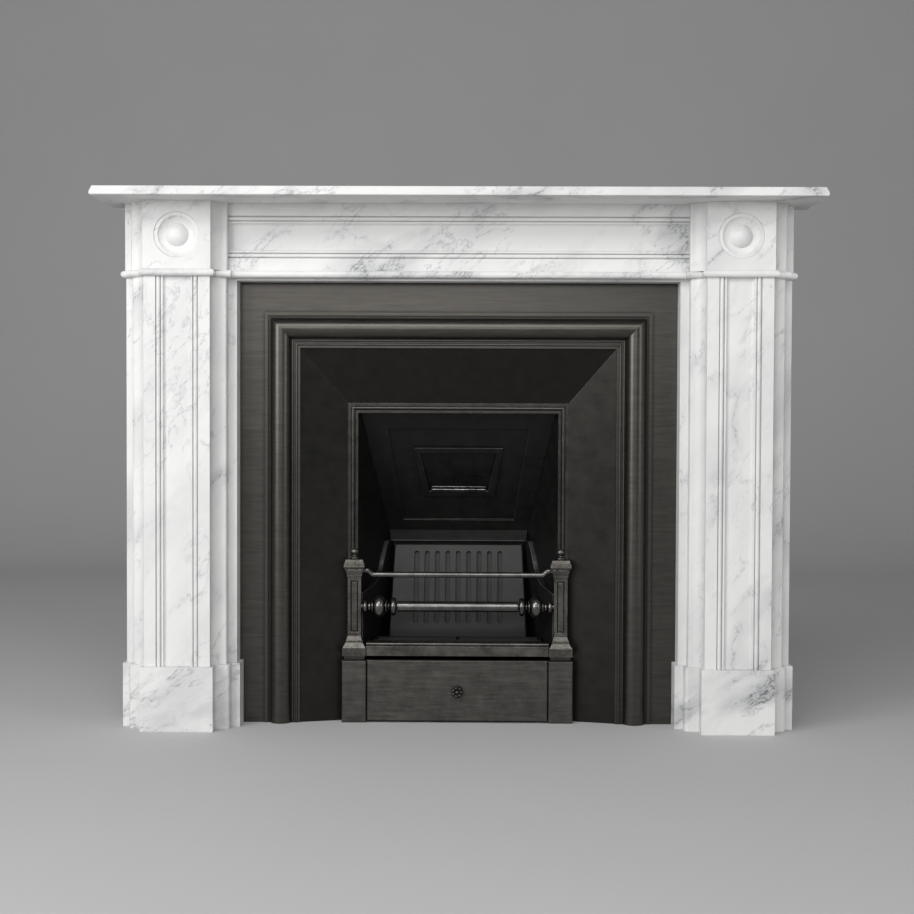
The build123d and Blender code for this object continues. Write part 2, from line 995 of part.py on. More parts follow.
def pin_bar(x0, x1, radius):
    return rod(x0, -pin_place.Y, pin_place.Z, radius, x1 - x0, (1, 0, 0))


ear_outer = throat_half * 0.75
knuckle_outer = ear_outer - flap_ear_width - flap_side_gap


def upper_back():
    """The leaning hood, with a sunk panel, a framed throat and two hinge ears behind."""
    foot, head = hood_foot_height, firebox_top
    back = hood_thickness * hood_skew
    hood = prism_across(
        -fire_half,
        fire_half,
        (hood_front(foot), foot),
        (hood_front(head), head),
        (hood_front(head) - back, head),
        (hood_front(foot) - back, foot),
    )
    hood &= between_cheeks(0, foot, head, back_plate_back - back, inner_frame_back)
    hood -= hood_panel(-hood_panel_sink, 1)
    frame_top = throat_frame_rise - hood_panel_sink
    hood += throat_block(throat_frame_width, -hood_thickness / 2, frame_top)
    hood -= throat_block(0, -2 * hood_thickness, 2 * hood_thickness)
    for side in (-1, 1):
        x0 = side * ear_outer - flap_ear_width / 2 - side * flap_ear_width / 2
        ear = pin_bar(x0, x0 + flap_ear_width, flap_knuckle_radius)
        root = Pos(x0 + flap_ear_width / 2, 0, 0) * (
            hood_plane.offset(pin_depth)
            * Pos(0, pin_drop, 0)
            * Box(
                flap_ear_width,
                2 * flap_knuckle_radius,
                -pin_depth - hood_thickness / 2,
                align=(Align.CENTER, Align.CENTER, Align.MIN),
            )
        )
        hood += ear + root
    return hood - pin_bar(-far, far, flap_pin_radius + flap_pin_clearance)


def damper_flap():
    """The iron flap that closes the throat from behind and tips back on its pin."""
    front = -hood_thickness - flap_gap
    flap = throat_block(flap_lap, front - flap_thickness, front)
    lip_low = throat_low + flap_gap + 1
    lip = hood_plane.offset(front) * Pos(0, lip_low + flap_lip_height / 2, 0)
    lip *= Box(
        2 * throat_half * 0.8,
        flap_lip_height,
        flap_lip_reach,
        align=(Align.CENTER, Align.CENTER, Align.MIN),
    )
    flap += lip
    bore = flap_pin_radius + flap_pin_clearance
    for side in (-1, 1):
        x0 = side * (knuckle_outer - flap_knuckle_width / 2) - flap_knuckle_width / 2
        knuckle = pin_bar(x0, x0 + flap_knuckle_width, flap_knuckle_radius)
        tongue = hood_plane.offset(front - flap_thickness) * Pos(
            x0 + flap_knuckle_width / 2, pin_drop, 0
        )
        tongue *= Box(
            flap_knuckle_width,
            2 * flap_knuckle_radius,
            flap_thickness,
            align=(Align.CENTER, Align.MIN, Align.MIN),
        )
        flap += knuckle + tongue
    return flap - pin_bar(-far, far, bore)


def flap_pin():
    overhang = 3.0
    return pin_bar(-ear_outer - overhang, ear_outer + overhang, flap_pin_radius)


def back_plate():
    """The upright plate behind the fireback, standing on the base."""
    top = hood_foot_height - sill_thickness * 1.5
    return between_cheeks(0, base_thickness, top, back_plate_back, firebox_back_front)


def back_sill():
    """The sloping ledge between the hood and the fireback."""
    rear_low = hood_foot_height - sill_thickness * 1.5
    nose_low = sill_nose_height - sill_edge
    sill = prism_across(
        -fire_half,
        fire_half,
        (back_plate_back, rear_low),
        (back_plate_back, hood_foot_height),
        (firebox_back_front, hood_foot_height),
        (sill_nose_front - 2, sill_nose_height),
        (sill_nose_front, sill_nose_height - 2),
        (sill_nose_front, nose_low),
        (sill_nose_front - sill_thickness, nose_low),
        (firebox_back_front, rear_low),
    )
    nose_half = firebox_back_half - sill_taper
    taper = prism_up(
        0,
        far,
        (-firebox_back_half, back_plate_back),
        (-firebox_back_half, firebox_back_front),
        (-nose_half, sill_nose_front),
        (nose_half, sill_nose_front),
        (firebox_back_half, firebox_back_front),
        (firebox_back_half, back_plate_back),
    )
    return sill & between_cheeks(0, 0, far) & taper


def fire_cheek():
    """The right lining of the fire, whose top edge sweeps up to the sill."""
    rear = firebox_back_front
    nose = grate_front_front
    curve = prism_across(
        -far,
        far,
        (rear, carrier_top),
        (nose, carrier_top),
        (nose, liner_front_top),
        (liner_elbow_front, liner_elbow_height),
        (
            ((liner_elbow_front + liner_knee_front) / 2 - 4, liner_elbow_height + 15),
            (liner_knee_front, liner_knee_height),
        ),
        (
            ((liner_knee_front + sill_nose_front) / 2, liner_knee_height + 22),
            (sill_nose_front, liner_top),
        ),
        (rear, liner_top),
    )
    skin = prism_up(
        carrier_top,
        liner_top,
        (cheek_x(nose), nose),
        (cheek_x(rear), rear),
        (cheek_x(rear, liner_thickness), rear),
        (cheek_x(nose, liner_thickness), nose),
    )
    return skin & curve


def fluted_fireback():
    """The fireback leans back from the grate and has round-ended flutes cut in it."""
    rise = fireback_top_height - carrier_top
    lean = (fireback_foot_front - fireback_top_front) / rise
    length = hypot(rise, fireback_foot_front - fireback_top_front)
    face = Plane(
        origin=(0, -fireback_foot_front, carrier_top),
        x_dir=(1, 0, 0),
        z_dir=(0, -1, lean),
    )
    skew = hypot(1, lean)
    back = fireback_thickness * skew
    slab = prism_across(
        -far,
        far,
        (fireback_foot_front, carrier_top),
        (fireback_top_front, fireback_top_height),
        (fireback_top_front - back, fireback_top_height),
        (fireback_foot_front - back, carrier_top),
    )
    bevel = fireback_bevel
    tier = []
    for level, inset in ((-fireback_thickness - far / 10, 0), (-bevel, 0), (0, bevel)):
        corners = (
            (-fireback_foot_half + inset, -far / 100),
            (fireback_foot_half - inset, -far / 100),
            (fireback_top_half - inset, length - inset),
            (-fireback_top_half + inset, length - inset),
        )
        tier.append(face.offset(level) * outline(corners[0], corners[1:]))
    plate = loft([tier[0], tier[1]], ruled=True) + loft([tier[1], tier[2]], ruled=True)
    plate &= slab
    flute_length = length - flute_foot_margin - flute_head_margin
    middle = flute_foot_margin + flute_length / 2
    for index in range(flute_count):
        x = (index - (flute_count - 1) / 2) * flute_pitch
        slot = SlotOverall(flute_length, flute_width, rotation=90)
        plate -= extrude(
            face.offset(-flute_depth) * Pos(x, middle) * slot,
            amount=2 * flute_depth,
            dir=face.z_dir,
        )
    rest_front = fireback_top_front - back / 2
    for side in (-1, 1):
        x = side * fireback_top_half / 2
        plate += box(
            x - flute_width,
            x + flute_width,
            firebox_back_front,
            rest_front,
            fireback_top_height - 2 * flute_width,
            fireback_top_height - flute_width,
        )
    return plate


def grate_carrier():
    """The shelf that the fire grate and the linings stand on, open under the grate."""
    shelf = between_cheeks(0, carrier_height, carrier_top, firebox_back_front, inner_frame_back)
    tongue_front = hob_front - hob_wall - 3
    shelf += box(
        -hob_half + 1, hob_half - 1, inner_frame_back - 1, tongue_front, carrier_height, carrier_top
    )
    ledge = grate_border - 1
    grate_back = grate_front_front - grate_depth
    well = box(
        -grate_half + 2 * ledge,
        grate_half - 2 * ledge,
        grate_back + ledge,
        grate_front_front - ledge,
        carrier_height,
        carrier_top,
    )
    return shelf - well


def fire_grate():
    """The loose bottom grate: slots between bars that run across."""
    back = grate_front_front - grate_depth
    grate = box(-grate_half, grate_half, back, grate_front_front, carrier_top, grate_top)
    pitch = (grate_depth - grate_border) / grate_slots
    for index in range(grate_slots):
        centre = back + grate_border / 2 + (index + 0.5) * pitch
        for side in (-1, 1):
            x0 = side * grate_border / 2
            x1 = side * (grate_half - grate_border)
            low, high = centre - grate_slot_width / 2, centre + grate_slot_width / 2
            grate -= box(min(x0, x1), max(x0, x1), low, high, carrier_top, grate_top)
    return grate


def base_plate():
    """The plate under the ash pit, with two runners for the pan."""
    end = back_plate_back - 2
    plate = prism_up(
        0,
        base_thickness,
        (-cheek_x(end, -cheek_thickness), end),
        (-cheek_x(inner_frame_back, -cheek_thickness), inner_frame_back),
        (cheek_x(inner_frame_back, -cheek_thickness), inner_frame_back),
        (cheek_x(end, -cheek_thickness), end),
    )
    front = pit_block_front - 2 * cover_thickness
    half = post_centre - pit_block_width / 2 - cover_gap
    plate += box(-half, half, inner_frame_back - 1, front, 0, base_thickness)
    for side in (-1, 1):
        x = side * runner_centre
        plate += box(
            x - runner_width / 2,
            x + runner_width / 2,
            firebox_back_front,
            front,
            base_thickness,
            base_thickness + runner_height,
        )
    return plate


# The front of the grate: blocks, posts and bars


def pit_block():
    """The low block beside the ash cover, with a neck above and a pad behind."""
    half = pit_block_width / 2
    block = box(
        post_centre - half,
        post_centre + half,
        bead_clear_front,
        pit_block_front,
        0,
        pit_block_height,
    )
    block = chamfer(block.faces().sort_by(-Axis.Y)[-1].edges(), pit_block_chamfer)
    neck = box(
        post_centre - half + pit_neck_inset,
        post_centre + half - pit_neck_inset,
        bead_clear_front,
        pit_block_front - pit_neck_setback,
        pit_block_height,
        pit_block_height + pit_neck_height,
    )
    pad_outer = inner_frame_half - 1
    pad = box(
        pad_outer - pit_pad_width,
        pad_outer,
        splay_inner_front,
        bead_clear_front,
        pit_block_chamfer,
        pit_pad_height,
    )
    pad -= box(
        pad_outer - pit_pad_width,
        inner_frame_half - inner_bead_offset + inner_bead_radius + joint_gap,
        splay_inner_front,
        bead_clear_front,
        0,
        pit_block_height,
    )
    return block + neck + pad


def post_tiers():
    """Height and half widths, low and high, of the post's square stages from the base up."""
    base, shaft = post_base_half, post_shaft_half
    shoulder = base - post_shoulder_inset
    foot = shaft + post_foot_proud
    neck = shaft + post_neck_proud
    cap = shaft + post_cap_proud
    under_neck = shaft + post_neck_proud / 3
    under_cap = shaft + post_cap_proud / 3
    return (
        (post_base_height, base, base),
        (post_shoulder_height, base, shoulder),
        (post_foot_height / 3, foot, foot),
        (post_foot_height * 2 / 3, foot - post_foot_proud / 4, shaft),
        (post_shaft_height, shaft, shaft),
        (post_neck_height / 4, under_neck, under_neck),
        (post_neck_height * 3 / 4, under_neck, neck),
        (post_cap_height / 11, under_cap, under_cap),
        (post_cap_height * 2 / 11, (neck + cap) / 2, cap),
        (post_cap_height * 4 / 11, cap, cap - post_cap_proud / 10),
        (post_cap_height * 4 / 11, cap - post_cap_proud / 4, cap - post_cap_proud / 2),
    )


def grate_post():
    """The right post: square stages, a sunk panel in the shaft and a turned finial."""
    z = pit_block_height + pit_neck_height
    post = None
    for height, low, high in post_tiers():
        stage = loft(
            [
                Pos(0, 0, z) * Rectangle(2 * low, 2 * low),
                Pos(0, 0, z + height) * Rectangle(2 * high, 2 * high),
            ],
            ruled=True,
        )
        post = stage if post is None else post + stage
        z += height
    ball_low = z + finial_height * 0.4
    finial = outline(
        (0, z),
        (
            (finial_radius, z),
            ((finial_radius * 1.08, z + finial_height / 10), (finial_radius, z + finial_height / 5)),
            (
                (finial_radius * 0.55, z + finial_height * 0.28),
                (finial_radius * 0.5, ball_low),
            ),
            (
                (finial_radius * 0.92, (ball_low + z + finial_height) / 2),
                (0, z + finial_height),
            ),
        ),
    )
    post += revolve(Plane.XZ * finial, axis=Axis.Z)
    panel_low = post_shaft_low + post_panel_margin
    panel_high = post_neck_low - post_panel_margin
    panel = box(
        -post_panel_width / 2,
        post_panel_width / 2,
        post_shaft_half - post_panel_sink,
        post_shaft_half + 1,
        panel_low,
        panel_high,
    )
    panel -= box(
        -post_panel_width / 2 + post_strip_gap,
        post_panel_width / 2 - post_strip_gap,
        0,
        post_shaft_half - post_strip_sink,
        panel_low + post_strip_gap,
        panel_high - post_strip_gap,
    )
    post = Pos(post_centre, -post_centre_front, 0) * (post - panel)
    keep = box(0, far, bead_clear_front, far, 0, far)
    return (post & keep) - turned_tenon(tenon_clearance) - top_bar_tenon(tenon_clearance)


def turned_tenon(grow=0.0):
    start = post_centre - post_shaft_half
    return rod(
        start - 1,
        post_centre_front,
        turned_bar_height,
        tenon_radius + grow,
        tenon_length + 1 + grow,
        (1, 0, 0),
    )


cap_clear_half = post_shaft_half + post_cap_proud + 0.5


def top_bar_tenon(grow=0.0):
    start = post_centre - cap_clear_half
    return rod(
        start - 1,
        post_centre_front,
        top_bar_end_height,
        tenon_radius + grow,
        2 * tenon_length + grow,
        (1, 0, 0),
    )


def top_bar():
    """A round bar cranked up at each end to meet the posts' caps."""
    end = post_centre - cap_clear_half
    high = top_bar_end_height
    straight = end - top_bar_crank - 5.0
    points = [
        (-end, -post_centre_front, high),
        (-end + 5.0, -post_centre_front, high),
        (-straight, -post_centre_front, high - top_bar_rise),
        (straight, -post_centre_front, high - top_bar_rise),
        (end - 5.0, -post_centre_front, high),
        (end, -post_centre_front, high),
    ]
    path = FilletPolyline(*points, radius=4.0)
    section = Plane(origin=points[0], z_dir=(1, 0, 0)) * Circle(top_bar_radius)
    bar = sweep(section, path=path)
    tenon = top_bar_tenon()
    return bar + tenon + other_side(tenon)


def turned_bar():
    """The large polished bar, turned with collars, balls and beads at each end."""
    core = turned_core_radius
    end = post_centre - post_shaft_half
    rings = (
        (bar_bead_width, bar_bead_radius),
        (bar_ring_width, bar_ring_radius),
        (bar_edge_width, bar_edge_radius),
        (bar_ball_width, bar_ball_radius),
        (bar_edge_width, bar_edge_radius),
        (bar_hollow_width, bar_hollow_radius),
        (bar_collar_width, bar_collar_radius),
    )
    place = end - bar_end_neck
    spans = []
    for width, crest in rings:
        spans.insert(0, (place - width, place, crest))
        place -= width + bar_ring_gap
    barrel = place - bar_ring_gap
    steps = [(0, turned_bar_radius), (barrel, turned_bar_radius), (barrel, core)]
    for low, high, crest in spans:
        steps += ring_steps(low, high, core, crest)
    steps += [(end, core), (end, 0)]
    half = revolve(Plane.XZ * outline((0, 0), steps), axis=Axis.X)
    half = Pos(0, -post_centre_front, turned_bar_height) * half
    half += turned_tenon()
    return half + other_side(half)


def hob_rail():
    """The front ledge of the grate: a rounded nose over a plain fascia."""
    top = grate_top
    radius = hob_nose_radius
    fascia = hob_front - 1.5
    back = fascia - hob_wall
    shoulder = top - hob_wall
    return prism_across(
        -hob_half,
        hob_half,
        (hob_rear_front, carrier_top),
        (hob_rear_front, top),
        (hob_front - radius, top),
        ((hob_front, top - radius), (hob_front - radius, top - 2 * radius)),
        (fascia, top - 2 * radius - 1),
        (fascia, top - hob_fascia),
        (back, top - hob_fascia),
        (back, shoulder),
        (hob_rear_front + hob_wall, shoulder),
        (hob_rear_front + hob_wall, carrier_top),
    )


# The ash drawer


cover_back = pit_block_front - cover_thickness
pan_bottom = base_thickness + runner_height + slide_gap


def ash_cover():
    half = post_centre - pit_block_width / 2 - cover_gap
    top = cover_floor_gap + cover_height
    cover = box(-half, half, cover_back, pit_block_front, cover_floor_gap, top)
    cover = chamfer(cover.faces().sort_by(-Axis.Y)[-1].edges(), pit_block_chamfer)
    hole = rod(0, cover_back - 1, knob_height, screw_radius, cover_thickness + 2, (0, -1, 0))
    return cover - hole


def ash_pan():
    """A sheet-iron tray fixed behind the cover."""
    back = cover_back - pan_depth
    outside = box(-pan_half, pan_half, back, cover_back, pan_bottom, pan_bottom + pan_height)
    inside = box(
        -pan_half + pan_wall,
        pan_half - pan_wall,
        back + pan_wall,
        cover_back - pan_wall,
        pan_bottom + pan_wall,
        pan_bottom + pan_height,
    )
    hole = rod(0, cover_back - 2 * pan_wall, knob_height, screw_radius, 3 * pan_wall, (0, -1, 0))
    return outside - inside - hole


def knob_screw():
    seat = cover_back - pan_wall
    length = pan_wall + cover_thickness + screw_grip
    shank = rod(0, seat, knob_height, screw_radius, length, (0, -1, 0))
    head = rod(
        0, seat - screw_head_height, knob_height, screw_head_radius, screw_head_height, (0, -1, 0)
    )
    return shank + head


def cover_knob():
    """A rosette knob: a stem, a dished back and a ring of petals about a centre berry."""
    front = pit_block_front
    stem = rod(0, front, knob_height, knob_stem_radius, knob_stem_length, (0, -1, 0))
    head_front = front + knob_stem_length
    dish = rod(0, head_front - 1, knob_height, knob_radius - 1, 4.0, (0, -1, 0))
    knob = stem + dish
    ring = knob_radius - petal_radius
    for index in range(petal_count):
        angle = 2 * pi * index / petal_count
        centre = Pos(ring * cos(angle), -(head_front + 3.0), knob_height + ring * sin(angle))
        knob += centre * Sphere(petal_radius)
    knob += Pos(0, -(head_front + 3.5), knob_height) * Sphere(petal_radius + 1.2)
    reach = screw_grip
    return knob - rod(0, front - 1, knob_height, screw_radius, reach + 1, (0, -1, 0))


os.makedirs("parts", exist_ok=True)

save("mantel_shelf", mantel_shelf())
save("frieze_panel", frieze_panel())
save("frieze_nosing", frieze_nosing())
save("header_soffit", header_soffit())
save("shelf_ties", shelf_ties())
save_pair("corner_block", corner_block())
save_pair("roundel", bullseye_roundel())
save_pair("necking", necking())
save_pair("pilaster", pilaster())
outer_cove = Pos(jamb_centre, 0, 0) * cove_return()
inner_cove = Pos(jamb_centre, 0, 0) * other_side(cove_return())
save_pair("outer_cove", outer_cove)
save_pair("inner_cove", inner_cove)
save_pair("outer_return", outer_return())
save_pair("jamb_slip", jamb_slip())
save_pair("jamb_backing", jamb_backing())
save_pair("plinth", plinth())

side_splay, head_splay = splay_panels()
save("front_frame", front_frame())
save_pair("splay_panel", side_splay)
save("head_splay_panel", head_splay)
save("inner_frame", inner_frame())
save("frame_bolts", frame_bolts())

save_pair("firebox_cheek", firebox_cheek())
save("upper_back", upper_back())
save("damper_flap", damper_flap())
save("flap_pin", flap_pin())
save("back_plate", back_plate())
save("back_sill", back_sill())
save_pair("fire_cheek", fire_cheek())
save("fluted_fireback", fluted_fireback())
save("grate_carrier", grate_carrier())
save("fire_grate", fire_grate())
save("base_plate", base_plate())

save_pair("pit_block", pit_block())
save_pair("grate_post", grate_post())
save("top_bar", top_bar())
save("turned_bar", turned_bar())
save("hob_rail", hob_rail())

save("ash_cover", ash_cover())
save("ash_pan", ash_pan())
save("knob_screw", knob_screw())
save("cover_knob", cover_knob())
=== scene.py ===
from math import cos, pi, sin

import bpy
from mathutils import Matrix, Vector

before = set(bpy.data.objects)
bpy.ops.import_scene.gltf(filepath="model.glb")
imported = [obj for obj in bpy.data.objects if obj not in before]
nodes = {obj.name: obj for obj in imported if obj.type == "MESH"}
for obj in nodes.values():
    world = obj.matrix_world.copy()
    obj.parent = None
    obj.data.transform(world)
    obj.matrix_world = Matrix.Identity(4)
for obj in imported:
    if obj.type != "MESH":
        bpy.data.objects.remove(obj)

scene = bpy.context.scene
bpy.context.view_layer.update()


# Camera. The photograph was taken from straight in front, a little above the middle of
# the mantelpiece, with a long lens: the level lines of the shelf and the plinths meet far
# away, and that gives the distance, the height and the small turns.
image_width = 914
focal_pixels = 1529.2
sensor_width = 36.0
camera_place = Vector((0.0315, -3.369, 0.6766))
camera_yaw = -0.0101
camera_pitch = -0.0273
camera_roll = -0.0039
far_clip = 60.0

ahead = Vector(
    (
        sin(camera_yaw) * cos(camera_pitch),
        cos(camera_yaw) * cos(camera_pitch),
        sin(camera_pitch),
    )
)
level_right = Vector((cos(camera_yaw), -sin(camera_yaw), 0.0))
level_up = level_right.cross(ahead)
right = level_right * cos(camera_roll) - level_up * sin(camera_roll)
up = level_right * sin(camera_roll) + level_up * cos(camera_roll)
camera_data = bpy.data.cameras.new("photo_camera")
camera_data.sensor_fit = "HORIZONTAL"
camera_data.sensor_width = sensor_width
camera_data.lens = focal_pixels * sensor_width / image_width
camera_data.clip_end = far_clip
camera = bpy.data.objects.new("photo_camera", camera_data)
turn = Matrix((right, up, -ahead)).transposed().to_4x4()
camera.matrix_world = Matrix.Translation(camera_place) @ turn
scene.collection.objects.link(camera)
scene.camera = camera


# Studio. A plain pale floor that curves up into a plain backdrop far behind the piece,
# with nothing on it. It stands at floor level, under the plinths and the iron base.
floor_half = 9.0
floor_front = -9.0
backdrop_front = 3.2
backdrop_height = 7.0
sweep_radius = 1.6
sweep_steps = 24

profile = [(floor_front, 0.0)]
for step in range(sweep_steps + 1):
    angle = step / sweep_steps * pi / 2
    profile.append(
        (
            backdrop_front + sweep_radius * sin(angle),
            sweep_radius * (1.0 - cos(angle)),
        )
    )
profile.append((backdrop_front + sweep_radius, backdrop_height))
points = []
faces = []
for index, (y, z) in enumerate(profile):
    points += [(-floor_half, y, z), (floor_half, y, z)]
    if index:
        low = 2 * index
        faces.append((low - 2, low - 1, low + 1, low))
studio_mesh = bpy.data.meshes.new("studio_sweep")
studio_mesh.from_pydata(points, [], faces)
studio_mesh.polygons.foreach_set("use_smooth", [True] * len(faces))
studio = bpy.data.objects.new("studio_sweep", studio_mesh)
scene.collection.objects.link(studio)


def add_node(tree, kind, inputs=None, **settings):
    """A node with its settings made and its sockets filled or linked."""
    made = tree.nodes.new(kind)
    for name, value in settings.items():
        setattr(made, name, value)
    for socket, value in (inputs or {}).items():
        if isinstance(value, bpy.types.NodeSocket):
            tree.links.new(value, made.inputs[socket])
        else:
            made.inputs[socket].default_value = value
    return made


def new_material(name):
    """A material with its shader, and the tree and shader to work on."""
    material = bpy.data.materials.new(name)
    material.use_nodes = True
    tree = material.node_tree
    return material, tree, tree.nodes["Principled BSDF"]


def noise(tree, place, scale, detail=3.0, roughness=0.55):
    """Plain noise at a place, as the node."""
    return add_node(
        tree,
        "ShaderNodeTexNoise",
        {
            "Vector": place,
            "Scale": scale,
            "Detail": detail,
            "Roughness": roughness,
        },
    )


def ranged(tree, value, low, high, to_low=0.0, to_high=1.0):
    """A value moved from one range to another and held inside it."""
    return add_node(
        tree,
        "ShaderNodeMapRange",
        {"Value": value, "From Min": low, "From Max": high, "To Min": to_low, "To Max": to_high},
    ).outputs["Result"]


def arithmetic(tree, operation, first, second):
    """One step of arithmetic on two values."""
    return add_node(tree, "ShaderNodeMath", {0: first, 1: second}, operation=operation).outputs[0]


def mixed(tree, share, first, second):
    """Two colours mixed by a share."""
    made = add_node(tree, "ShaderNodeMix", data_type="RGBA")
    for socket, value in (("Factor_Float", share), ("A_Color", first), ("B_Color", second)):
        place = next(entry for entry in made.inputs if entry.identifier == socket)
        if isinstance(value, bpy.types.NodeSocket):
            tree.links.new(value, place)
        else:
            place.default_value = value
    return next(entry for entry in made.outputs if entry.identifier == "Result_Color")


floor_colour = (0.48, 0.48, 0.48, 1.0)
floor_lighter = (0.52, 0.52, 0.52, 1.0)
floor_mottle_scale = 1.5
floor_roughness = 0.8
floor_material, floor_tree, floor_shader = new_material("pale_floor")
floor_place = add_node(floor_tree, "ShaderNodeTexCoord").outputs["Object"]
floor_mottle = noise(floor_tree, floor_place, floor_mottle_scale).outputs["Fac"]
floor_tint = mixed(floor_tree, floor_mottle, floor_colour, floor_lighter)
floor_tree.links.new(floor_tint, floor_shader.inputs["Base Color"])
floor_shader.inputs["Roughness"].default_value = floor_roughness
studio_mesh.materials.append(floor_material)


# Studio light. Large soft lamps: the key stands at the left in front, a weaker one fills
# from the right, one is high above, and one is behind the camera, for the sheen of the
# iron. A low even glow comes from all round, as in a white studio.
def soft_lamp(name, place, aim, width, height, watts):
    """A rectangular lamp at a place, turned to its aim."""
    data = bpy.data.lights.new(name, "AREA")
    data.shape = "RECTANGLE"
    data.size = width
    data.size_y = height
    data.energy = watts
    lamp = bpy.data.objects.new(name, data)
    lamp.location = place
    lamp.rotation_euler = (Vector(aim) - Vector(place)).to_track_quat("-Z", "Y").to_euler()
    scene.collection.objects.link(lamp)


soft_lamp("key_lamp", (-2.9, -3.2, 1.9), (0.0, 0.0, 0.65), width=1.9, height=2.4, watts=108.0)
soft_lamp("fill_lamp", (3.5, -3.2, 1.6), (0.0, 0.0, 0.6), width=1.4, height=2.2, watts=32.0)
soft_lamp("top_lamp", (-0.3, -3.2, 3.3), (0.0, 0.0, 0.5), width=2.6, height=1.4, watts=56.0)
soft_lamp("front_lamp", (-0.4, -5.4, 1.9), (0.0, 0.0, 0.8), width=3.0, height=1.3, watts=44.0)

glow_colour = (0.62, 0.62, 0.63, 1.0)
glow_strength = 0.34
glow = bpy.data.worlds.new("studio_glow")
glow.use_nodes = True
glow.node_tree.nodes["Background"].inputs["Color"].default_value = glow_colour
glow.node_tree.nodes["Background"].inputs["Strength"].default_value = glow_strength
scene.world = glow
scene.view_settings.view_transform = "Standard"


# Jambs. On each side a moulded pilaster stands between two coved uprights, with a slip
# turned back into the opening, a return to the wall and a backing slab. All are slabs of
# white marble, each with its own veins, honed and eased, that meet in thin joints.
def new_group(name, sockets_in, sockets_out):
    """An empty node group with its sockets, and its input and output nodes."""
    group = bpy.data.node_groups.new(name, "ShaderNodeTree")
    for socket, kind in sockets_in:
        group.interface.new_socket(socket, in_out="INPUT", socket_type=kind)
    for socket, kind in sockets_out:
        group.interface.new_socket(socket, in_out="OUTPUT", socket_type=kind)
    return group, group.nodes.new("NodeGroupInput"), group.nodes.new("NodeGroupOutput")


eased, eased_in, eased_out = new_group(
    "eased_edges",
    (("Radius", "NodeSocketFloat"),),
    (("Edge", "NodeSocketFloat"), ("Normal", "NodeSocketVector")),
)
edge_samples = 8
flat_agreement = 0.93
edge_agreement = 0.76
rounded = add_node(
    eased, "ShaderNodeBevel", {"Radius": eased_in.outputs["Radius"]}, samples=edge_samples
)
flat = add_node(eased, "ShaderNodeNewGeometry").outputs["Normal"]
agreement = add_node(
    eased,
    "ShaderNodeVectorMath",
    {0: rounded.outputs["Normal"], 1: flat},
    operation="DOT_PRODUCT",
).outputs["Value"]
edge = ranged(eased, agreement, flat_agreement, edge_agreement)
eased.links.new(edge, eased_out.inputs["Edge"])
eased.links.new(rounded.outputs["Normal"], eased_out.inputs["Normal"])

figure, figure_in, figure_out = new_group(
    "marble_figure",
    (("Place", "NodeSocketVector"),),
    (
        ("Vein", "NodeSocketFloat"),
        ("Hair", "NodeSocketFloat"),
        ("Cloud", "NodeSocketFloat"),
        ("Grain", "NodeSocketFloat"),
    ),
)
stone_place = figure_in.outputs["Place"]
noise_middle = 0.5


def warped(tree, place, scale, reach):
    """A place pushed about by noise, so that a pattern there wanders."""
    push = noise(tree, place, scale, detail=4.0).outputs["Color"]
    centred = add_node(
        tree, "ShaderNodeVectorMath", {0: push, 1: (noise_middle,) * 3}, operation="SUBTRACT"
    ).outputs["Vector"]
    scaled = add_node(
        tree, "ShaderNodeVectorMath", {0: centred, "Scale": reach}, operation="SCALE"
    ).outputs["Vector"]
    return add_node(
        tree, "ShaderNodeVectorMath", {0: place, 1: scaled}, operation="ADD"
    ).outputs["Vector"]


def ridges(tree, place, scale, width, detail):
    """Thin lines where noise passes through its middle."""
    level = noise(tree, place, scale, detail, roughness=0.5).outputs["Fac"]
    signed = arithmetic(tree, "SUBTRACT", level, noise_middle)
    away = arithmetic(tree, "ABSOLUTE", signed, 0.0)
    return ranged(tree, away, width, 0.0)


def product(tree, first, second):
    """Two values multiplied."""
    return arithmetic(tree, "MULTIPLY", first, second)


def patches(tree, place, scale, detail, low, high, least=0.0, roughness=0.55):
    """Where noise rises from one level to another, as a soft-edged mask."""
    level = noise(tree, place, scale, detail, roughness).outputs["Fac"]
    return ranged(tree, level, low, high, to_low=least)


# Broad veins, pushed about by coarse and fine noise, with a grey halo, and broken up finely.
vein_scale = 2.6
wandering = warped(figure, warped(figure, stone_place, scale=2.0, reach=0.34), scale=26.0, reach=0.022)
broad = ridges(figure, wandering, vein_scale, width=0.026, detail=3.0)
broad_gate = patches(figure, stone_place, 4.6, 4.0, low=0.47, high=0.60)
broken = patches(figure, stone_place, 150.0, 4.0, low=0.42, high=0.58, least=0.22, roughness=0.7)
halo_line = ridges(figure, wandering, vein_scale, width=0.085, detail=2.0)
halo = ranged(figure, halo_line, 0.0, 1.0, to_high=0.36)
line = arithmetic(figure, "MAXIMUM", product(figure, broad, broken), halo)
vein = product(figure, line, broad_gate)

# Hair veins are finer and closer, and each kind shows in its own patches.
fine_place = warped(figure, warped(figure, stone_place, scale=6.0, reach=0.12), scale=55.0, reach=0.010)
fine = ridges(figure, fine_place, 7.5, width=0.028, detail=4.0)
fine_gate = patches(figure, stone_place, 9.0, 3.0, low=0.50, high=0.62)
short = ridges(figure, fine_place, 21.0, width=0.036, detail=4.0)
short_gate = patches(figure, wandering, 5.5, 4.0, low=0.53, high=0.64)
hair = arithmetic(
    figure,
    "MAXIMUM",
    product(figure, product(figure, fine, broken), fine_gate),
    product(figure, product(figure, short, broken), short_gate),
)
cloud = patches(figure, wandering, 3.4, 6.0, low=0.44, high=0.78, roughness=0.62)
grain = noise(figure, stone_place, scale=900.0, detail=2.0).outputs["Fac"]
for socket, value in (("Vein", vein), ("Hair", hair), ("Cloud", cloud), ("Grain", grain)):
    figure.links.new(value, figure_out.inputs[socket])

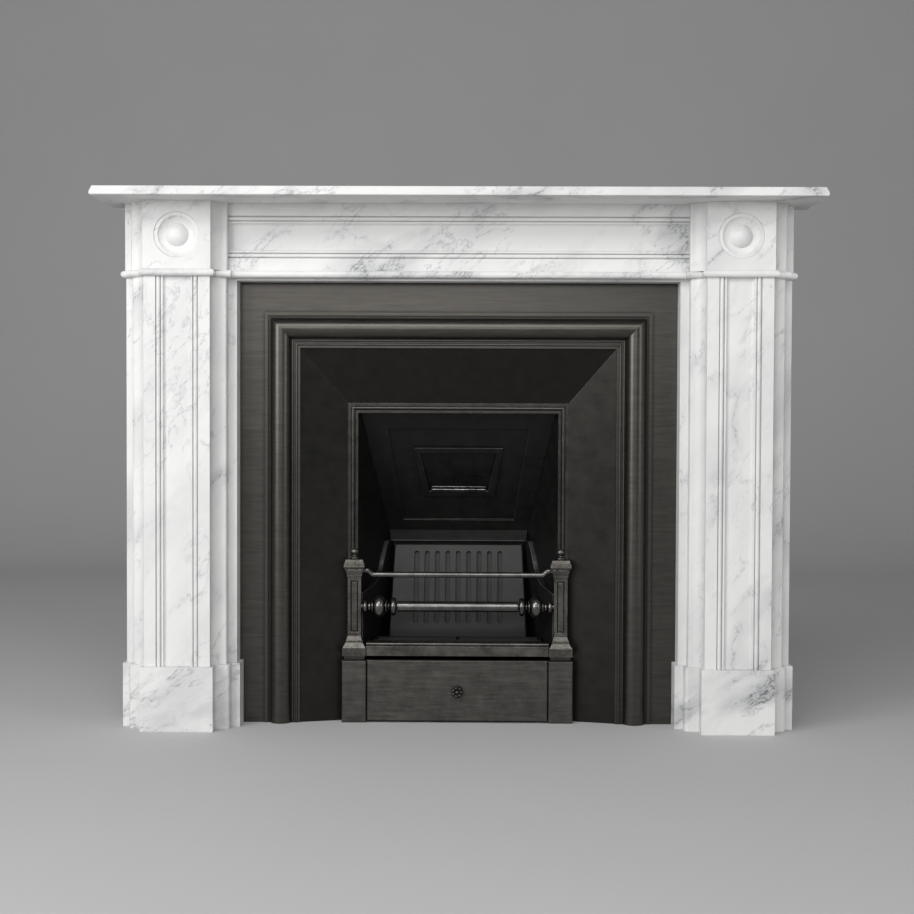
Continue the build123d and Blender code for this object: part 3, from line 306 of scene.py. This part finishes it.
stone_white = (0.725, 0.727, 0.715, 1.0)
stone_cloud = (0.50, 0.505, 0.505, 1.0)
stone_vein = (0.13, 0.14, 0.155, 1.0)
stone_hair = (0.19, 0.20, 0.22, 1.0)
# The grey that the stone is darkened towards in corners and joints: part dust, part painted shade.
stone_dust_and_shade = (0.36, 0.35, 0.34, 1.0)
marble_ease = 0.0009
hair_share = 0.62
vein_share = 0.95
slab_tilt = 0.15
slab_turn = 0.2
dust_and_shade_reach = 0.006
dust_and_shade_samples = 6
dust_and_shade_begins = 0.50
dust_and_shade_full = 0.08
dust_and_shade_share = 0.60
honed_rough = (0.46, 0.56)
vein_sink = -0.8
stone_bump = 0.10
stone_relief = 0.0004
calcite_index = 1.49
translucent_share = 0.06
translucent_tint = (1.0, 0.95, 0.9)
translucent_depth = 0.004


def grouped(tree, group, inputs):
    """A node that stands for a shared group."""
    made = add_node(tree, "ShaderNodeGroup", node_tree=group)
    for socket, value in inputs.items():
        if isinstance(value, bpy.types.NodeSocket):
            tree.links.new(value, made.inputs[socket])
        else:
            made.inputs[socket].default_value = value
    return made


def marble(name, shift, lean, stretch, vein_strength, cloud_strength=0.62):
    """Marble of one slab: its place in the stone, its lean, and how strong its figure is."""
    material, tree, shader = new_material(f"marble_{name}")
    place = add_node(tree, "ShaderNodeTexCoord").outputs["Object"]
    turns = (slab_tilt, lean, slab_turn)
    stone_at = add_node(
        tree,
        "ShaderNodeMapping",
        {"Vector": place, "Location": shift, "Rotation": turns, "Scale": stretch},
        vector_type="TEXTURE",
    ).outputs["Vector"]
    pattern = grouped(tree, figure, {"Place": stone_at})
    edges = grouped(tree, eased, {"Radius": marble_ease})
    clouded = product(tree, pattern.outputs["Cloud"], cloud_strength)
    ground = mixed(tree, clouded, stone_white, stone_cloud)
    haired = mixed(
        tree,
        product(tree, pattern.outputs["Hair"], hair_share * vein_strength),
        ground,
        stone_hair,
    )
    veined = mixed(
        tree,
        product(tree, pattern.outputs["Vein"], vein_share * vein_strength),
        haired,
        stone_vein,
    )
    # Painted shade: the AO node darkens the stone towards grey in corners, creases and joints, part
    # dust and part painted shade.
    shade = add_node(
        tree, "ShaderNodeAmbientOcclusion", {"Distance": dust_and_shade_reach}, samples=dust_and_shade_samples
    ).outputs["AO"]
    dust_and_shade_mask = ranged(tree, shade, dust_and_shade_begins, dust_and_shade_full, to_high=dust_and_shade_share)
    dusted_and_shaded = mixed(tree, dust_and_shade_mask, veined, stone_dust_and_shade)
    tree.links.new(dusted_and_shaded, shader.inputs["Base Color"])
    rough = ranged(tree, pattern.outputs["Cloud"], 0.0, 1.0, *honed_rough)
    tree.links.new(rough, shader.inputs["Roughness"])
    sunk_veins = product(tree, pattern.outputs["Vein"], vein_sink)
    surface = arithmetic(tree, "ADD", pattern.outputs["Grain"], sunk_veins)
    bump = add_node(
        tree,
        "ShaderNodeBump",
        {
            "Strength": stone_bump,
            "Distance": stone_relief,
            "Height": surface,
            "Normal": edges.outputs["Normal"],
        },
    )
    tree.links.new(bump.outputs["Normal"], shader.inputs["Normal"])
    shader.inputs["IOR"].default_value = calcite_index
    shader.inputs["Subsurface Weight"].default_value = translucent_share
    shader.inputs["Subsurface Radius"].default_value = translucent_tint
    shader.inputs["Subsurface Scale"].default_value = translucent_depth
    return material


def dress(names, material):
    """These CAD nodes wear this material."""
    for name in names:
        for entry in nodes[name].material_slots:
            entry.material = material


# The slabs are numbered: ten for the left side, ten for the right, then the long pieces.
slab_step = Vector((3.1, 1.7, 2.3))
slabs_before = {"left": 0, "right": 10}


def dress_in_slabs(names, first_slab, lean, stretch, vein_strength, cloud_strength=0.62):
    """Each of these pieces wears marble of its own numbered slab."""
    for number, name in enumerate(names, start=first_slab):
        shift = slab_step * number
        dress([name], marble(name, shift, lean, stretch, vein_strength, cloud_strength))


jamb_pieces = ("pilaster", "inner_cove", "outer_cove", "jamb_slip", "outer_return", "jamb_backing")
for side, before in slabs_before.items():
    dress_in_slabs(
        [f"{side}_{name}" for name in jamb_pieces],
        first_slab=before + 1,
        lean=0.50,
        stretch=(0.62, 0.8, 1.25),
        vein_strength=0.75,
    )


# Corner blocks. A square marble block tops each jamb, over a necking band that steps round
# it, and a turned bullseye roundel is let into its face.
for side, before in slabs_before.items():
    dress_in_slabs(
        [f"{side}_{name}" for name in ("corner_block", "roundel", "necking")],
        first_slab=before + 7,
        lean=0.8,
        stretch=(0.6, 0.8, 1.1),
        vein_strength=0.7,
    )


# Plinths. The marble block at the foot of each jamb stands on the floor. It is cut from
# cloudier stone than the rest, with stronger veins.
for side, before in slabs_before.items():
    dress_in_slabs(
        [f"{side}_plinth"],
        first_slab=before + 10,
        lean=1.05,
        stretch=(0.42, 0.7, 1.1),
        vein_strength=1.1,
        cloud_strength=1.25,
    )


# Shelf and frieze. The shelf is one marble slab, held to the wall by ties. The moulded
# frieze, with a half-round nosing at its foot and a soffit slab behind it, spans the opening.
dress_in_slabs(
    ("mantel_shelf", "frieze_panel", "frieze_nosing", "header_soffit"),
    first_slab=21,
    lean=0.9,
    stretch=(0.6, 0.8, 1.3),
    vein_strength=0.9,
)


# Front frame. One iron casting: a flat frame with a large moulding, rubbed with black lead,
# with lugs for wall screws behind the jambs. It has a soft grey sheen and brighter edges,
# over a fine sandy skin that all the iron below shares.
skin, skin_in, skin_out = new_group(
    "cast_skin",
    (("Place", "NodeSocketVector"), ("Coarse", "NodeSocketFloat")),
    (
        ("Mottle", "NodeSocketFloat"),
        ("Brushed", "NodeSocketFloat"),
        ("Height", "NodeSocketFloat"),
        ("Pits", "NodeSocketFloat"),
    ),
)
cast_place = skin_in.outputs["Place"]
sand_weight = 0.30
wave_weight = 0.6
pit_scale = 150.0
pit_rim = 0.16
pit_floor = 0.05
brushing_stretch = (1.0, 6.0, 14.0)
sand = noise(skin, cast_place, scale=1400.0, detail=3.0, roughness=0.6).outputs["Fac"]
lumps = noise(skin, cast_place, scale=210.0, detail=4.0, roughness=0.6).outputs["Fac"]
wave = noise(skin, cast_place, scale=16.0, detail=3.0, roughness=0.5).outputs["Fac"]
mottle = patches(skin, cast_place, 34.0, 6.0, low=0.35, high=0.70, roughness=0.65)
long_place = add_node(
    skin, "ShaderNodeMapping", {"Vector": cast_place, "Scale": brushing_stretch}
).outputs["Vector"]
brushed = patches(skin, long_place, 12.0, 7.0, low=0.38, high=0.66, roughness=0.75)
pit_cells = add_node(skin, "ShaderNodeTexVoronoi", {"Vector": cast_place, "Scale": pit_scale})
pits = ranged(skin, pit_cells.outputs["Distance"], pit_rim, pit_floor)
rough_lumps = product(skin, lumps, skin_in.outputs["Coarse"])
height = arithmetic(skin, "ADD", product(skin, sand, sand_weight), rough_lumps)
height = arithmetic(skin, "ADD", height, product(skin, wave, wave_weight))
for socket, value in (("Mottle", mottle), ("Brushed", brushed), ("Height", height), ("Pits", pits)):
    skin.links.new(value, skin_out.inputs[socket])

pit_black = (0.01, 0.01, 0.01, 1.0)
# Near-blacks for the painted shade in hollows and for the painted shadow low in the fire.
grime_and_shade_black = (0.008, 0.008, 0.008, 1.0)
foot_shadow_black = (0.006, 0.006, 0.006, 1.0)
foot_shadow_share = 0.72
open_shade = 0.92
deep_shade = 0.50
grime_and_shade_samples = 4
least_wear_and_highlight = 0.35
rubbed_polish = 0.15
cast_relief = 0.0006


def iron(
    name,
    dark,
    light,
    worn_and_highlight,
    metal,
    rough,
    coarse,
    ease=0.0016,
    bump_strength=0.35,
    pitted=0.0,
    wear_and_highlight=0.6,
    brushing=0.3,
    grime_and_shade=0.6,
    grime_and_shade_reach=0.008,
    foot_shadow_heights=(),
):
    """A cast-iron finish between two tones, with worn edges that also carry a painted highlight, and
    hollows darkened by grime and by painted shade.
    """
    material, tree, shader = new_material(name)
    place = add_node(tree, "ShaderNodeTexCoord").outputs["Object"]
    cast = grouped(tree, skin, {"Place": place, "Coarse": coarse})
    edges = grouped(tree, eased, {"Radius": ease})
    tone = arithmetic(
        tree,
        "ADD",
        product(tree, cast.outputs["Mottle"], 1.0 - brushing),
        product(tree, cast.outputs["Brushed"], brushing),
    )
    ground = mixed(tree, tone, dark, light)
    # Edges are lightened towards the bright colour: part real wear, part painted highlight where the
    # edges catch the light.
    uneven_wear_and_highlight = ranged(tree, cast.outputs["Mottle"], 0.0, 1.0, least_wear_and_highlight * wear_and_highlight, wear_and_highlight)
    rubbed_and_highlit = product(tree, edges.outputs["Edge"], uneven_wear_and_highlight)
    bright = mixed(tree, rubbed_and_highlit, ground, worn_and_highlight)
    spotted = mixed(tree, product(tree, cast.outputs["Pits"], pitted), bright, pit_black)
    # Painted shade: hollows found by the AO node are darkened towards black, part grime and part
    # painted shade.
    shade = add_node(
        tree,
        "ShaderNodeAmbientOcclusion",
        {"Distance": grime_and_shade_reach},
        samples=grime_and_shade_samples,
        only_local=True,
    ).outputs["AO"]
    grime_and_shade_mask = ranged(tree, shade, open_shade, deep_shade, to_high=grime_and_shade)
    soiled_and_shaded = mixed(tree, grime_and_shade_mask, spotted, grime_and_shade_black)
    # Painted shadow: below the given heights the iron is darkened towards black, as the shadow that the
    # bars and the hob cast.
    if foot_shadow_heights:
        low, high = foot_shadow_heights
        level = add_node(tree, "ShaderNodeSeparateXYZ", {"Vector": place}).outputs["Z"]
        foot_shadowed = ranged(tree, level, high, low, to_high=foot_shadow_share)
        soiled_and_shaded = mixed(tree, foot_shadowed, soiled_and_shaded, foot_shadow_black)
    tree.links.new(soiled_and_shaded, shader.inputs["Base Color"])
    skin_rough = ranged(tree, tone, 0.0, 1.0, *rough)
    rubbed_rough = arithmetic(tree, "SUBTRACT", skin_rough, product(tree, rubbed_and_highlit, rubbed_polish))
    tree.links.new(rubbed_rough, shader.inputs["Roughness"])
    bump = add_node(
        tree,
        "ShaderNodeBump",
        {
            "Strength": bump_strength,
            "Distance": cast_relief,
            "Height": cast.outputs["Height"],
            "Normal": edges.outputs["Normal"],
        },
    )
    tree.links.new(bump.outputs["Normal"], shader.inputs["Normal"])
    shader.inputs["Metallic"].default_value = metal
    return material


blacked = iron(
    "blacked_iron",
    dark=(0.062, 0.0585, 0.053, 1.0),
    light=(0.092, 0.0865, 0.078, 1.0),
    worn_and_highlight=(0.36, 0.35, 0.33, 1.0),
    metal=0.92,
    rough=(0.29, 0.35),
    coarse=0.12,
    ease=0.0005,
    bump_strength=0.04,
    brushing=0.8,
    wear_and_highlight=0.12,
    grime_and_shade=0.85,
)
dress(["front_frame"], blacked)


# Side splays. Two slanted iron castings, bolted through their flanges to the front frame
# and to the inner frame. They are smooth and black-leaded, and painted darker than the front frame as
# shade, since they face in, away from the light.
splay_painted_shade = iron(
    "splay_iron_painted_shade",
    dark=(0.026, 0.025, 0.0225, 1.0),
    light=(0.036, 0.0345, 0.031, 1.0),
    worn_and_highlight=(0.20, 0.195, 0.18, 1.0),
    metal=0.9,
    rough=(0.27, 0.33),
    coarse=0.2,
    bump_strength=0.06,
    wear_and_highlight=0.3,
)
dress(["left_splay_panel", "right_splay_panel"], splay_painted_shade)


# Head splay. The third slanted iron casting, bolted through its flange to the head of the
# front frame. It faces down over the fire, and is painted the darkest of the three as shade, since it
# faces away from the light; it is a little brown.
head_splay_painted_shade = iron(
    "head_splay_iron_painted_shade",
    dark=(0.016, 0.0143, 0.0126, 1.0),
    light=(0.023, 0.0206, 0.0182, 1.0),
    worn_and_highlight=(0.16, 0.15, 0.14, 1.0),
    metal=0.85,
    rough=(0.30, 0.38),
    coarse=0.2,
    bump_strength=0.06,
    wear_and_highlight=0.3,
)
dress(["head_splay_panel"], head_splay_painted_shade)


# Inner frame. The narrow beaded casting round the fire opening, bolted to the side splays.
# Its beads are rubbed bright, and the lines between them are darkened by black lead and by painted
# shade.
inner_black = iron(
    "inner_frame_iron",
    dark=(0.062, 0.060, 0.055, 1.0),
    light=(0.095, 0.091, 0.084, 1.0),
    worn_and_highlight=(0.60, 0.58, 0.55, 1.0),
    metal=1.0,
    rough=(0.22, 0.28),
    coarse=0.12,
    ease=0.0005,
    bump_strength=0.06,
    wear_and_highlight=0.25,
    grime_and_shade=0.95,
    grime_and_shade_reach=0.006,
)
dress(["inner_frame"], inner_black)


# Firebox. The leaning hood with its framed throat, the side and back plates, the base and
# the carrier of the grate are iron castings, dull and dark, with soot that kills the sheen. Their edges
# are painted lighter as a highlight, and their hollows darker as shade.
sooty = iron(
    "sooty_iron",
    dark=(0.012, 0.012, 0.012, 1.0),
    light=(0.024, 0.0235, 0.022, 1.0),
    worn_and_highlight=(0.22, 0.215, 0.205, 1.0),
    metal=0.7,
    rough=(0.38, 0.52),
    coarse=0.5,
    ease=0.0022,
    bump_strength=0.2,
)
dress(["left_firebox_cheek", "right_firebox_cheek", "upper_back", "back_plate"], sooty)
dress(["base_plate", "grate_carrier"], sooty)


# Damper flap. A small iron plate that closes the hood's throat from behind and tips back
# on a pin. Its edges are rubbed bright, and painted brighter still as a highlight on the lip.
flap_iron_painted_highlight = iron(
    "flap_iron_painted_highlight",
    dark=(0.014, 0.014, 0.014, 1.0),
    light=(0.030, 0.030, 0.029, 1.0),
    worn_and_highlight=(0.62, 0.61, 0.59, 1.0),
    metal=0.85,
    rough=(0.26, 0.40),
    coarse=0.4,
    ease=0.0050,
    wear_and_highlight=1.0,
)
dress(["damper_flap"], flap_iron_painted_highlight)


# Side linings. Two iron castings that stand on the carrier beside the fire, with top edges
# that sweep up to the sill. They are dark, with worn edges painted lighter as a highlight where they
# catch the light.
lining_iron_painted_highlight = iron(
    "lining_iron_painted_highlight",
    dark=(0.020, 0.020, 0.020, 1.0),
    light=(0.038, 0.037, 0.036, 1.0),
    worn_and_highlight=(0.46, 0.45, 0.43, 1.0),
    metal=0.7,
    rough=(0.36, 0.50),
    coarse=0.6,
    ease=0.0030,
    wear_and_highlight=0.9,
)
dress(["left_fire_cheek", "right_fire_cheek"], lining_iron_painted_highlight)


# Fireback and fire grate. The fireback is an iron casting that leans back, with round-ended
# flutes; the loose bottom grate stands on the carrier. Both are burnt to a dull dark grey,
# and are painted darker towards the foot as the shadow that the bars and the hob cast.
fire_iron_foot_shadow = iron(
    "fire_worn_iron_foot_shadow",
    dark=(0.023, 0.023, 0.0225, 1.0),
    light=(0.034, 0.0335, 0.032, 1.0),
    worn_and_highlight=(0.34, 0.33, 0.32, 1.0),
    metal=0.6,
    rough=(0.42, 0.55),
    coarse=0.6,
    bump_strength=0.25,
    grime_and_shade=0.9,
    grime_and_shade_reach=0.012,
    foot_shadow_heights=(0.19, 0.36),
)
dress(["fluted_fireback", "fire_grate"], fire_iron_foot_shadow)


# Sill. The sloping iron ledge between the hood and the fireback. It is a plain casting,
# painted lighter than the plates round it as light falling on its upward face.
sill_iron_painted_light = iron(
    "sill_iron_painted_light",
    dark=(0.042, 0.042, 0.041, 1.0),
    light=(0.066, 0.065, 0.063, 1.0),
    worn_and_highlight=(0.42, 0.41, 0.39, 1.0),
    metal=0.7,
    rough=(0.36, 0.50),
    coarse=0.5,
    bump_strength=0.2,
)
dress(["back_sill"], sill_iron_painted_light)


# Front bars. The round top bar is cranked up to the posts' caps, and the large bar is
# turned with collars, balls and beads. Both have tenons in the posts, and are burnished
# iron, with hollows darkened by grime and painted shade.
burnished = iron(
    "burnished_iron",
    dark=(0.085, 0.083, 0.080, 1.0),
    light=(0.200, 0.195, 0.188, 1.0),
    worn_and_highlight=(0.60, 0.59, 0.57, 1.0),
    metal=0.95,
    rough=(0.15, 0.26),
    coarse=0.6,
    ease=0.0012,
    bump_strength=0.22,
    grime_and_shade=0.85,
)
dress(["turned_bar", "top_bar"], burnished)


# Posts and ledge. The cast-iron posts are square, with a sunk panel and a turned finial,
# and take the bars' tenons. The ledge is a rounded nose over a plain fascia. Their worn
# edges carry a painted highlight, and their hollows are darkened by grime and painted shade.
post_iron = iron(
    "post_iron",
    dark=(0.062, 0.058, 0.052, 1.0),
    light=(0.165, 0.156, 0.142, 1.0),
    worn_and_highlight=(0.70, 0.67, 0.63, 1.0),
    metal=0.92,
    rough=(0.24, 0.36),
    coarse=1.2,
    ease=0.0014,
    bump_strength=0.4,
    wear_and_highlight=0.95,
    grime_and_shade=0.95,
    grime_and_shade_reach=0.006,
)
dress(["left_grate_post", "right_grate_post", "hob_rail"], post_iron)


# Ash cover and blocks. The cover is the iron plate in front of the ash pan, and a low cast
# block stands at each side of it. They keep the grain and small pits of the sand mould.
sand_cast = iron(
    "sand_cast_iron",
    dark=(0.060, 0.0575, 0.0525, 1.0),
    light=(0.128, 0.1225, 0.1125, 1.0),
    worn_and_highlight=(0.46, 0.44, 0.41, 1.0),
    metal=0.9,
    rough=(0.32, 0.46),
    coarse=1.6,
    bump_strength=0.45,
    brushing=0.55,
    pitted=0.40,
    grime_and_shade=0.85,
)
dress(["ash_cover", "left_pit_block", "right_pit_block"], sand_cast)


# Knob. A cast-iron rosette of petals round a berry, held by a screw through the cover. The
# petals are rubbed by the hand, and the hollows between them are darkened by black lead and by painted
# shade.
knob_iron = iron(
    "knob_iron",
    dark=(0.035, 0.034, 0.031, 1.0),
    light=(0.075, 0.072, 0.066, 1.0),
    worn_and_highlight=(0.52, 0.50, 0.47, 1.0),
    metal=0.9,
    rough=(0.24, 0.36),
    coarse=0.8,
    ease=0.0008,
    wear_and_highlight=0.5,
    grime_and_shade=1.0,
    grime_and_shade_reach=0.005,
)
dress(["cover_knob"], knob_iron)


# Ash pan. A tray of black sheet iron, fixed behind the cover by the knob's screw, that
# slides on the two runners of the base plate. It is dulled by ash.
pan_sheet = iron(
    "pan_sheet",
    dark=(0.030, 0.030, 0.030, 1.0),
    light=(0.075, 0.073, 0.070, 1.0),
    worn_and_highlight=(0.25, 0.24, 0.23, 1.0),
    metal=0.6,
    rough=(0.40, 0.60),
    coarse=0.3,
)
dress(["ash_pan"], pan_sheet)


# Ties and fixings. The steel angles that tie the shelf to the wall, the bolts of the
# frames, the knob's screw and the damper's pin are plain steel gone dull.
plain_steel = iron(
    "plain_steel",
    dark=(0.24, 0.24, 0.24, 1.0),
    light=(0.40, 0.39, 0.38, 1.0),
    worn_and_highlight=(0.60, 0.59, 0.58, 1.0),
    metal=1.0,
    rough=(0.28, 0.42),
    coarse=0.3,
)
dress(["shelf_ties", "frame_bolts", "knob_screw", "flap_pin"], plain_steel)
